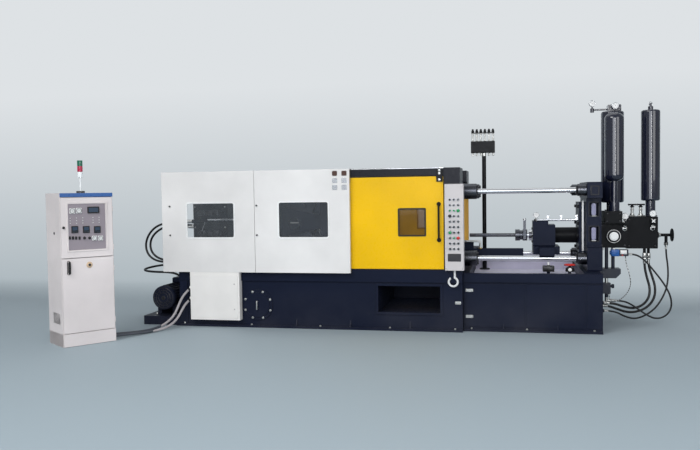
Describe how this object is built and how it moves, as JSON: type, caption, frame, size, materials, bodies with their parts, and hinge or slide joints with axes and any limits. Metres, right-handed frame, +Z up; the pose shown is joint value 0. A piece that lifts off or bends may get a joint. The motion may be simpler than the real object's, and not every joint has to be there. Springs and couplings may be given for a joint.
{
  "type": "die casting machine",
  "caption": "Cold-chamber die casting machine: double toggle clamp behind sliding guards, injection unit with accumulators, pump unit and free-standing control cabinet.",
  "frame": {"origin": "on the floor under the middle of the two bases, on the clamp base's bottom face", "axes": "+X towards the injection end, +Y away from the operator's side, +Z up"},
  "size_m": [6.1068, 2.9978, 2.384],
  "materials": {
    "base_paint": "satin dark navy-grey machine paint",
    "frame_paint": "satin black paint",
    "guard_paint": "warm white-grey powder coat",
    "guard_glazing": "clear acrylic",
    "door_glazing": "smoked acrylic",
    "door_paint": "golden yellow powder coat",
    "panel_paint": "white powder coat",
    "hook_paint": "white paint",
    "chrome_rod": "hard chrome",
    "cabinet_paint": "pale beige powder coat",
    "lamp_plastic": "clear coloured lamp lenses",
    "accumulator_paint": "glossy navy-black",
    "black_iron": "black oxide",
    "link_iron": "machined and painted iron",
    "hose_rubber": "black hydraulic hose",
    "conduit_plastic": "grey corrugated conduit"
  },
  "bodies": {
    "machine": {"accumulator_valve_block": "black_iron", "cabinet_body": "cabinet_paint", "clamp_base": "base_paint", "clamp_cylinder": "black_iron", "clamp_hose_inner": "hose_rubber", "clamp_hose_outer": "hose_rubber", "clamp_valve_block": "black_iron", "conduit_lower": "conduit_plastic", "conduit_upper": "conduit_plastic", "control_panel": "panel_paint", "drain_valve": "black_iron", "fixed_platen": "base_paint", "front_guard_left": "guard_paint", "front_guard_right": "guard_paint", "gas_bottle": "accumulator_paint", "guard_frame": "frame_paint", "guard_windows": "guard_glazing", "guide_block": "base_paint", "injection_base": "base_paint", "injection_cylinder": "black_iron", "injection_frame": "base_paint", "injection_rods": "chrome_rod", "injection_valve_block": "black_iron", "junction_box": "panel_paint", "large_accumulator": "accumulator_paint", "lifting_hook": "hook_paint", "lubricant_distributor": "black_iron", "main_hose_front": "hose_rubber", "main_hose_rear": "hose_rubber", "pilot_hose": "hose_rubber", "pressure_hose": "hose_rubber", "pump_motor": "base_paint", "pump_stand": "base_paint", "rear_end_panel": "door_paint", "rear_guard_left": "guard_paint", "rear_guard_right": "guard_paint", "return_hose": "hose_rubber", "round_cover": "base_paint", "signal_cable": "hose_rubber", "signal_lamp": "lamp_plastic", "small_accumulator": "accumulator_paint", "stroke_scale": "chrome_rod", "tailstock": "base_paint", "tie_bars": "chrome_rod"},
    "front_sliding_door": {"front_door": "door_paint", "front_door_window": "door_glazing"},
    "rear_sliding_door": {"rear_door": "door_paint", "rear_door_window": "door_glazing"},
    "plunger": {"plunger_rod": "chrome_rod"},
    "handwheel": {"speed_handwheel": "black_iron"},
    "cabinet_lower_hinged_door": {"cabinet_lower_door": "cabinet_paint"},
    "cabinet_upper_hinged_door": {"cabinet_upper_door": "cabinet_paint"},
    "rear_link_pair_upper": {"rear_links_upper": "link_iron"},
    "front_link_pair_upper": {"front_links_upper": "link_iron"},
    "rear_link_pair_lower": {"rear_links_lower": "link_iron"},
    "front_link_pair_lower": {"front_links_lower": "link_iron"},
    "crosshead_link_pair_upper": {"crosshead_links_upper": "link_iron"},
    "crosshead_link_pair_lower": {"crosshead_links_lower": "link_iron"},
    "crosshead_slide": {"crosshead": "link_iron"},
    "moving_platen_slide": {"moving_platen": "base_paint"}
  },
  "joints": [
    {"name": "front_door_slide", "type": "slide", "parent": "machine", "child": "front_sliding_door", "axis": [-1, 0, 0], "range_m": [0, 0.86]},
    {"name": "rear_door_slide", "type": "slide", "parent": "machine", "child": "rear_sliding_door", "axis": [-1, 0, 0], "range_m": [0, 0.86]},
    {"name": "injection_stroke", "type": "slide", "parent": "machine", "child": "plunger", "axis": [-1, 0, 0], "range_m": [0, 0.4]},
    {"name": "speed_handwheel_turn", "type": "hinge", "parent": "machine", "child": "handwheel", "pos_m": [3.009, 0, 0.937], "axis": [1, 0, 0], "range_deg": [0, 720]},
    {"name": "cabinet_lower_door_hinge", "type": "hinge", "parent": "machine", "child": "cabinet_lower_hinged_door", "pos_m": [-2.47888, -1.70612, 0.4], "axis": [0, 0, 1], "range_deg": [0, 120]},
    {"name": "cabinet_upper_door_hinge", "type": "hinge", "parent": "machine", "child": "cabinet_upper_hinged_door", "pos_m": [-2.47888, -1.70612, 1.1], "axis": [0, 0, 1], "range_deg": [0, 120]},
    {"name": "clamp_stroke", "type": "hinge", "parent": "machine", "child": "rear_link_pair_upper", "pos_m": [-1.1, 0, 1.48], "axis": [0, -1, 0], "range_deg": [0, 65]},
    {"name": "upper_knee", "type": "hinge", "parent": "rear_link_pair_upper", "child": "front_link_pair_upper", "pos_m": [-0.94341, 0, 1.12828], "axis": [0, -1, 0], "range_deg": [-130.2, 0]},
    {"name": "platen_pivot", "type": "hinge", "parent": "front_link_pair_upper", "child": "moving_platen_slide", "pos_m": [-0.78681, 0, 1.48], "axis": [0, -1, 0], "range_deg": [0, 65.2]},
    {"name": "crosshead_link_upper_pivot", "type": "hinge", "parent": "rear_link_pair_upper", "child": "crosshead_link_pair_upper", "pos_m": [-1.10045, 0, 1.223], "axis": [0, -1, 0], "range_deg": [-166.21, 0]},
    {"name": "crosshead_pivot", "type": "hinge", "parent": "crosshead_link_pair_upper", "child": "crosshead_slide", "pos_m": [-1.11343, 0, 1.35537], "axis": [0, -1, 0], "range_deg": [0, 101.21]},
    {"name": "lower_tail_pivot", "type": "hinge", "parent": "machine", "child": "rear_link_pair_lower", "pos_m": [-1.1, 0, 0.66], "axis": [0, -1, 0], "range_deg": [-65.2, 0]},
    {"name": "lower_knee", "type": "hinge", "parent": "rear_link_pair_lower", "child": "front_link_pair_lower", "pos_m": [-0.94341, 0, 1.01171], "axis": [0, -1, 0], "range_deg": [0, 130.2]},
    {"name": "crosshead_link_lower_pivot", "type": "hinge", "parent": "rear_link_pair_lower", "child": "crosshead_link_pair_lower", "pos_m": [-1.10045, 0, 0.917], "axis": [0, -1, 0], "range_deg": [0, 166.21]}
  ],
  "couplings": [
    {"joint": "upper_knee", "follows": "clamp_stroke", "ratio": -2},
    {"joint": "platen_pivot", "follows": "clamp_stroke", "ratio": 1},
    {"joint": "crosshead_link_upper_pivot", "follows": "clamp_stroke", "ratio": -2.554},
    {"joint": "crosshead_pivot", "follows": "clamp_stroke", "ratio": 1.554},
    {"joint": "lower_tail_pivot", "follows": "clamp_stroke", "ratio": -1},
    {"joint": "lower_knee", "follows": "clamp_stroke", "ratio": 2},
    {"joint": "crosshead_link_lower_pivot", "follows": "clamp_stroke", "ratio": 2.554}
  ]
}
